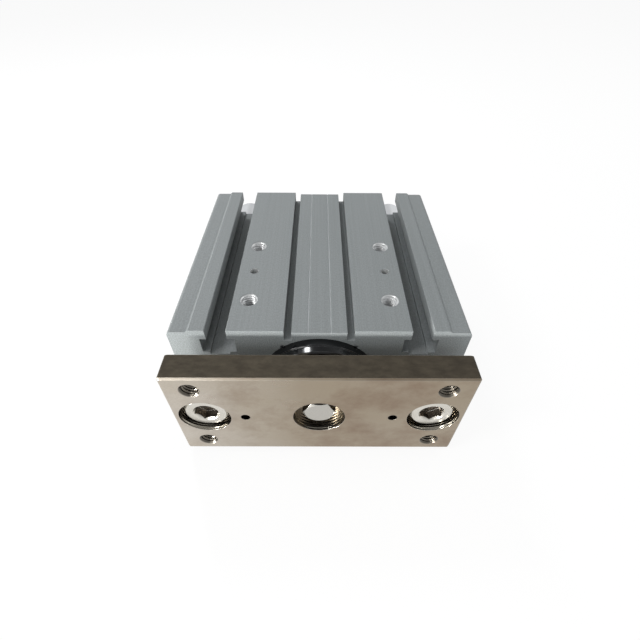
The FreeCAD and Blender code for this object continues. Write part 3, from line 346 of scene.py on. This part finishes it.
finishes = {
    "black_anodised": {
        "colour": (0.003, 0.0032, 0.0036), "patchColour": (0.006, 0.0064, 0.007), "grainShade": 0.05,
        "grainScale": 900.0, "grainStretch": (1.0, 6.0, 1.0), "patchScale": 30.0,
        "roughness": (0.11, 0.15), "bump": 0.08, "bumpDepth": 0.02 * mm, "edgeRadius": 0.3 * mm,
        "edgeWearAndHighlight": 0.35, "edgeWearAndHighlightColour": (0.10, 0.10, 0.11), "specular": 0.4, "coat": 0.12},
    "head_aluminium": {
        "colour": (0.40, 0.42, 0.43), "patchColour": (0.44, 0.46, 0.47), "grainShade": 0.06,
        "grainScale": 1500.0, "patchScale": 26.0, "roughness": (0.34, 0.42),
        "edgeRadius": 0.3 * mm, "edgeWearAndHighlight": 0.7, "edgeWearAndHighlightColour": (0.58, 0.60, 0.61), "metallic": 0.8},
    "piston_aluminium": {
        "colour": (0.56, 0.57, 0.58), "patchColour": (0.50, 0.51, 0.52), "grainShade": 0.05,
        "grainScale": 1500.0, "grainStretch": (1.0, 5.0, 1.0), "patchScale": 30.0,
        "roughness": (0.25, 0.34), "edgeWearAndHighlight": 0.5, "edgeWearAndHighlightColour": (0.72, 0.73, 0.74),
        "metallic": 1.0},
    "chromed_steel": {
        "colour": (0.72, 0.73, 0.74), "patchColour": (0.66, 0.67, 0.69), "grainShade": 0.03,
        "grainScale": 1200.0, "grainStretch": (1.0, 7.0, 1.0), "patchScale": 40.0,
        "roughness": (0.08, 0.13), "bump": 0.02, "bumpDepth": 0.01 * mm, "edgeRadius": 0.3 * mm,
        "edgeWearAndHighlight": 0.4, "edgeWearAndHighlightColour": (0.85, 0.86, 0.87), "metallic": 1.0},
    "spring_steel": {
        "colour": (0.10, 0.10, 0.105), "patchColour": (0.07, 0.065, 0.06), "grainShade": 0.12,
        "grainScale": 1800.0, "patchScale": 160.0, "roughness": (0.34, 0.48), "bump": 0.25,
        "edgeRadius": 0.25 * mm, "edgeWearAndHighlight": 0.7, "edgeWearAndHighlightColour": (0.28, 0.28, 0.28),
        "metallic": 0.9},
    "holder_steel": {
        "colour": (0.52, 0.52, 0.50), "patchColour": (0.44, 0.43, 0.40), "grainShade": 0.06,
        "grainScale": 1800.0, "patchScale": 90.0, "roughness": (0.30, 0.42), "edgeWearAndHighlight": 0.5,
        "edgeWearAndHighlightColour": (0.70, 0.70, 0.68), "metallic": 1.0},
    "plug_steel": {
        "colour": (0.26, 0.25, 0.235), "patchColour": (0.34, 0.325, 0.30), "grainShade": 0.10,
        "grainScale": 1700.0, "patchScale": 150.0, "roughness": (0.34, 0.50), "bump": 0.3,
        "bumpDepth": 0.04 * mm, "edgeRadius": 0.25 * mm, "edgeWearAndHighlight": 0.7,
        "edgeWearAndHighlightColour": (0.50, 0.49, 0.46), "metallic": 0.9},
    "bearing_bronze": {
        "colour": (0.52, 0.33, 0.14), "patchColour": (0.40, 0.24, 0.10), "grainShade": 0.20,
        "grainScale": 3200.0, "patchScale": 110.0, "roughness": (0.32, 0.46), "bump": 0.3,
        "edgeWearAndHighlight": 0.6, "edgeWearAndHighlightColour": (0.70, 0.50, 0.26), "metallic": 0.9},
    "nitrile_rubber": {
        "colour": (0.016, 0.016, 0.017), "patchColour": (0.024, 0.024, 0.025), "grainShade": 0.15,
        "grainScale": 2500.0, "patchScale": 120.0, "roughness": (0.48, 0.62), "bump": 0.3,
        "bumpDepth": 0.04 * mm, "edgeWearAndHighlight": 0.4, "edgeWearAndHighlightColour": (0.05, 0.05, 0.05)},
    "bumper_urethane": {
        "colour": (0.42, 0.29, 0.08), "patchColour": (0.34, 0.22, 0.06), "grainShade": 0.06,
        "grainScale": 1200.0, "patchScale": 80.0, "roughness": (0.30, 0.42),
        "bumpDepth": 0.04 * mm, "edgeRadius": 0.3 * mm, "edgeWearAndHighlight": 0.5,
        "edgeWearAndHighlightColour": (0.55, 0.42, 0.18)},
    "oiled_felt": {
        "colour": (0.40, 0.37, 0.30), "patchColour": (0.30, 0.27, 0.21), "grainShade": 0.35,
        "grainScale": 3500.0, "grainStretch": (1.0, 0.4, 1.0), "patchScale": 260.0,
        "roughness": (0.82, 0.95), "bump": 0.8, "bumpDepth": 0.15 * mm, "edgeRadius": 0.3 * mm,
        "edgeWearAndHighlight": 0.3, "edgeWearAndHighlightColour": (0.50, 0.47, 0.40)},
    "wear_resin": {
        "colour": (0.62, 0.58, 0.47), "patchColour": (0.55, 0.51, 0.41), "grainShade": 0.05,
        "grainScale": 1500.0, "patchScale": 90.0, "roughness": (0.40, 0.52), "edgeWearAndHighlight": 0.4,
        "edgeWearAndHighlightColour": (0.70, 0.67, 0.58)},
    "spacer_resin": {
        "colour": (0.05, 0.05, 0.052), "patchColour": (0.07, 0.07, 0.072), "grainShade": 0.10,
        "grainScale": 1500.0, "patchScale": 90.0, "roughness": (0.42, 0.56), "edgeWearAndHighlight": 0.4,
        "edgeWearAndHighlightColour": (0.14, 0.14, 0.14)},
    "cut_thread": {             # threads in the aluminium body
        "colour": (0.56, 0.57, 0.575), "patchColour": (0.62, 0.63, 0.635), "grainShade": 0.06,
        "grainScale": 1800.0, "patchScale": 200.0, "roughness": (0.32, 0.42),
        "edgeRadius": 0.1 * mm, "edgeWearAndHighlight": 0.3, "edgeWearAndHighlightColour": (0.70, 0.71, 0.71),
        "metallic": 0.5},
    "shaded_plate_thread": {            # threads in the steel plate, painted dark for the shade inside the holes
        "colour": (0.17, 0.155, 0.13), "patchColour": (0.12, 0.105, 0.085), "grainShade": 0.08,
        "grainScale": 1800.0, "patchScale": 200.0, "roughness": (0.20, 0.28), "bump": 0.15,
        "bumpDepth": 0.02 * mm, "edgeRadius": 0.1 * mm, "edgeWearAndHighlight": 0.5,
        "edgeWearAndHighlightColour": (0.50, 0.47, 0.42), "metallic": 1.0},
    "bonded_magnet": {
        "colour": (0.055, 0.052, 0.050), "patchColour": (0.085, 0.080, 0.075), "grainShade": 0.25,
        "grainScale": 2800.0, "patchScale": 150.0, "roughness": (0.50, 0.65), "bump": 0.3,
        "bumpDepth": 0.04 * mm, "edgeWearAndHighlight": 0.4, "edgeWearAndHighlightColour": (0.15, 0.15, 0.14)},
}

materials = {"anodised_aluminium": makeAnodised(), "nickel_plate": makeNickelPlate(),
             "nickel_screw": makeScrewNickel()}
for finishName, ownLook in finishes.items():
    finishLook = {**commonLook, **ownLook}
    materials[finishName] = closeMaterial(newMaterial(finishName, finishLook), finishLook)
for subPart in frame["record"]["subparts"]:
    cad = nodes[subPart["node"]]
    cad.data.materials.clear()
    cad.data.materials.append(materials[subPart["material_slot"]])
print("finishes:", len(materials))


threadLook = {
    "stepsPerTurn": 28,
    "rise": 0.62 * mm,          # how far the crest stands out of the drilled wall
    "root": 0.05 * mm,          # how far the ridge's foot is sunk into it
    "footHalf": 0.42,           # half the foot's width, as a share of the pitch
    "crestHalf": 0.06,          # the same for the crest
    "fadeTurns": 0.5,           # the ridge rises and ends over this much of a turn
    "leastRise": 0.08,          # share of its height that is left at the very ends
    "screwPitch": 1.5 * mm,
    "bodyStart": 1.6 * mm,      # below the top face
    "bodyLength": 24.0 * mm,
    "plateStart": 1.7 * mm,     # from either face of the plate
    "portPitch": 1.34 * mm,
    "portStart": 1.3 * mm,      # above the resting face
    "portLength": 3.6 * mm,
}


def linked(item):
    bpy.context.scene.collection.objects.link(item)
    return item


def meshPiece(name, mesh, material):
    data = bpy.data.meshes.new(name)
    mesh.to_mesh(data)
    mesh.free()
    data.materials.append(material)
    return linked(bpy.data.objects.new(name, data))


def threadPiece(name, spots, direction, radius, pitch, length, finish, body):
    # one ridge of triangular section wound inside each hole; direction points into the hole
    look = threadLook
    mesh = bmesh.new()
    along = Vector(direction).normalized()
    side = along.orthogonal().normalized()
    other = along.cross(side)
    steps = look["stepsPerTurn"]
    count = int(length / pitch * steps)
    fade = look["fadeTurns"] * steps
    foot = radius + look["root"]
    for spot in spots:
        rings = []
        for step in range(count + 1):
            angle = math.tau * step / steps
            share = max(look["leastRise"], min(1.0, step / fade, (count - step) / fade))
            crest = foot - (look["rise"] + look["root"]) * share
            outward = side * math.cos(angle) + other * math.sin(angle)
            centre = Vector(spot) + along * (pitch * step / steps)
            corners = ((foot, -look["footHalf"]), (crest, -look["crestHalf"]),
                       (crest, look["crestHalf"]), (foot, look["footHalf"]))
            rings.append([mesh.verts.new(centre + outward * reach + along * pitch * shift)
                          for reach, shift in corners])
        for first, second in zip(rings, rings[1:]):
            for corner in range(len(first)):
                after = (corner + 1) % len(first)
                mesh.faces.new((first[corner], first[after], second[after], second[corner]))
        mesh.faces.new(rings[0][::-1])
        mesh.faces.new(rings[-1])
    bmesh.ops.recalc_face_normals(mesh, faces=mesh.faces)
    piece = meshPiece(name, mesh, materials[finish])
    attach(piece, body)


def patternSpots(name, axis, level):
    # centres of a rectangular hole pattern; level replaces the coordinate along its axis
    item = mounts[name]
    across = item["dims"]["spacing_x_mm"] * mm / 2
    other = item["dims"]["spacing_y_mm"] * mm / 2
    spots = []
    for first in (-across, across):
        for second in (-other, other):
            spot = Vector(item["pos_m"])
            spot += Vector((first, second, 0) if axis == "z" else (first, 0, second))
            setattr(spot, axis, level)
            spots.append(spot)
    return spots


screwRadius = mounts["body_screws"]["dims"]["hole_r_mm"] * mm
threadPiece("body_threads", patternSpots("body_screws", "z", bodyHigh.z - threadLook["bodyStart"]),
            (0, 0, -1), screwRadius, threadLook["screwPitch"], threadLook["bodyLength"],
            "cut_thread", "housing")
threadPiece("plate_threads", patternSpots("plate_screws", "y", plateLow.y + threadLook["plateStart"]),
            (0, 1, 0), screwRadius, threadLook["screwPitch"],
            plateHigh.y - plateLow.y - 2 * threadLook["plateStart"],
            "shaded_plate_thread", "carriage")
portSpots = [(*mounts[name]["pos_m"][:2], threadLook["portStart"])
             for name in ("front_port", "rear_port")]
threadPiece("port_threads", portSpots, (0, 0, 1), mounts["front_port"]["dims"]["r_mm"] * mm,
            threadLook["portPitch"], threadLook["portLength"],
            "anodised_aluminium", "housing")
print("threads wound")


cameraView = {
    "place": (-0.000586, -0.187487, 0.22707),
    "turn": 0.006,              # to the right of +Y, in radians
    "tilt": 0.797,              # below the horizon
    "roll": 0.008,
    "lens": 21.79,
    "sensor": 36.0,
    "nearest": 10 * mm,
}


def makeCamera():
    view = cameraView
    data = bpy.data.cameras.new("viewer")
    camera = linked(bpy.data.objects.new("viewer", data))
    data.lens, data.sensor_width, data.clip_start = view["lens"], view["sensor"], view["nearest"]
    turn, tilt, roll = view["turn"], view["tilt"], view["roll"]
    ahead = Vector((math.sin(turn) * math.cos(tilt), math.cos(turn) * math.cos(tilt), -math.sin(tilt)))
    level = ahead.cross(Vector((0, 0, 1))).normalized()
    over = level.cross(ahead)
    right = level * math.cos(roll) + over * math.sin(roll)
    up = over * math.cos(roll) - level * math.sin(roll)
    facing = Matrix((right, up, -ahead)).transposed()
    camera.matrix_world = Matrix.Translation(view["place"]) @ facing.to_4x4()
    bpy.context.scene.camera = camera


makeCamera()
print("camera placed")


stageLook = {
    "floorSize": 6.0,
    "floorDrop": 0.1 * mm,      # keeps the floor off the resting face
    "floorColour": (0.90, 0.90, 0.90),
    "floorShine": 0.9,          # share of the floor's white, as seen, that doesn't depend on the lamps
    "overhead": (0.30, 0.302, 0.305),
    "horizon": (0.86, 0.87, 0.88),
    "skySpan": (0.42, 0.76),    # sine of the height where horizon gives way to overhead
}

# name, place, size, watts, colour
lamps = [
    ("window_left", (-1.10, -0.95, 0.045), (0.9, 0.085), 34.0, (1.0, 0.99, 0.97)),
    ("soft_front", (-0.62, -1.25, 0.86), (0.45, 0.35), 2.3, (1.0, 0.99, 0.97)),
    ("soft_top", (0.05, 0.15, 1.35), (0.7, 0.5), 2.2, (1.0, 0.99, 0.98)),
    ("soft_left", (-1.15, -0.55, 1.13), (0.42, 0.35), 10.5, (1.0, 0.99, 0.98)),
    ("soft_right", (1.15, 0.35, 1.05), (0.8, 0.6), 2.8, (1.0, 1.0, 1.0)),
    ("window_back", (-0.390, 0.72, 0.900), (0.12, 0.30), 5.0, (0.96, 0.98, 1.0)),
]


def makeFloor():
    mesh = bmesh.new()
    half = stageLook["floorSize"] / 2
    mesh.faces.new([mesh.verts.new((x * half, y * half, -stageLook["floorDrop"]))
                    for x, y in ((-1, -1), (1, -1), (1, 1), (-1, 1))])
    material = bpy.data.materials.new("floor")
    tree = newTree(material)
    rays = put(tree, "ShaderNodeLightPath").outputs
    seen = mathNode(tree, "ADD", rays["Is Camera Ray"], rays["Is Glossy Ray"], True)
    seen = mathNode(tree, "ADD", seen, rays["Is Transmission Ray"], True)
    share = mathNode(tree, "MULTIPLY", seen, stageLook["floorShine"])
    matte = put(tree, "ShaderNodeBsdfDiffuse", {"Color": (*stageLook["floorColour"], 1.0)}).outputs[0]
    white = put(tree, "ShaderNodeEmission", {"Color": (1.0, 1.0, 1.0, 1.0), "Strength": 1.0}).outputs[0]
    blend = put(tree, "ShaderNodeMixShader", {0: share, 1: matte, 2: white}).outputs[0]
    put(tree, "ShaderNodeOutputMaterial", {"Surface": blend})
    floor = meshPiece("floor", mesh, material)


def makeWorld():
    # bright round the horizon and dim overhead, as in a room with pale walls
    world = bpy.data.worlds.new("studio")
    bpy.context.scene.world = world
    tree = newTree(world)
    height = splitAxes(tree, put(tree, "ShaderNodeTexCoord").outputs["Generated"])["Z"]
    share = rangeNode(tree, height, stageLook["skySpan"])
    colour = mixColour(tree, share, stageLook["horizon"], stageLook["overhead"])
    sky = put(tree, "ShaderNodeBackground", {"Color": colour, "Strength": 1.0}).outputs[0]
    put(tree, "ShaderNodeOutputWorld", {"Surface": sky})


def makeLamps():
    target = Vector((0, 0, axisHeight))
    for name, place, size, watts, colour in lamps:
        data = bpy.data.lights.new(name, "AREA")
        data.shape, data.size, data.size_y = "RECTANGLE", size[0], size[1]
        data.energy, data.color = watts, colour
        lamp = linked(bpy.data.objects.new(name, data))
        lamp.location = place
        lamp.rotation_euler = (target - Vector(place)).to_track_quat("-Z", "Y").to_euler()


makeFloor()
makeWorld()
makeLamps()
bpy.context.scene.view_settings.view_transform = "Standard"
print("stage lit")
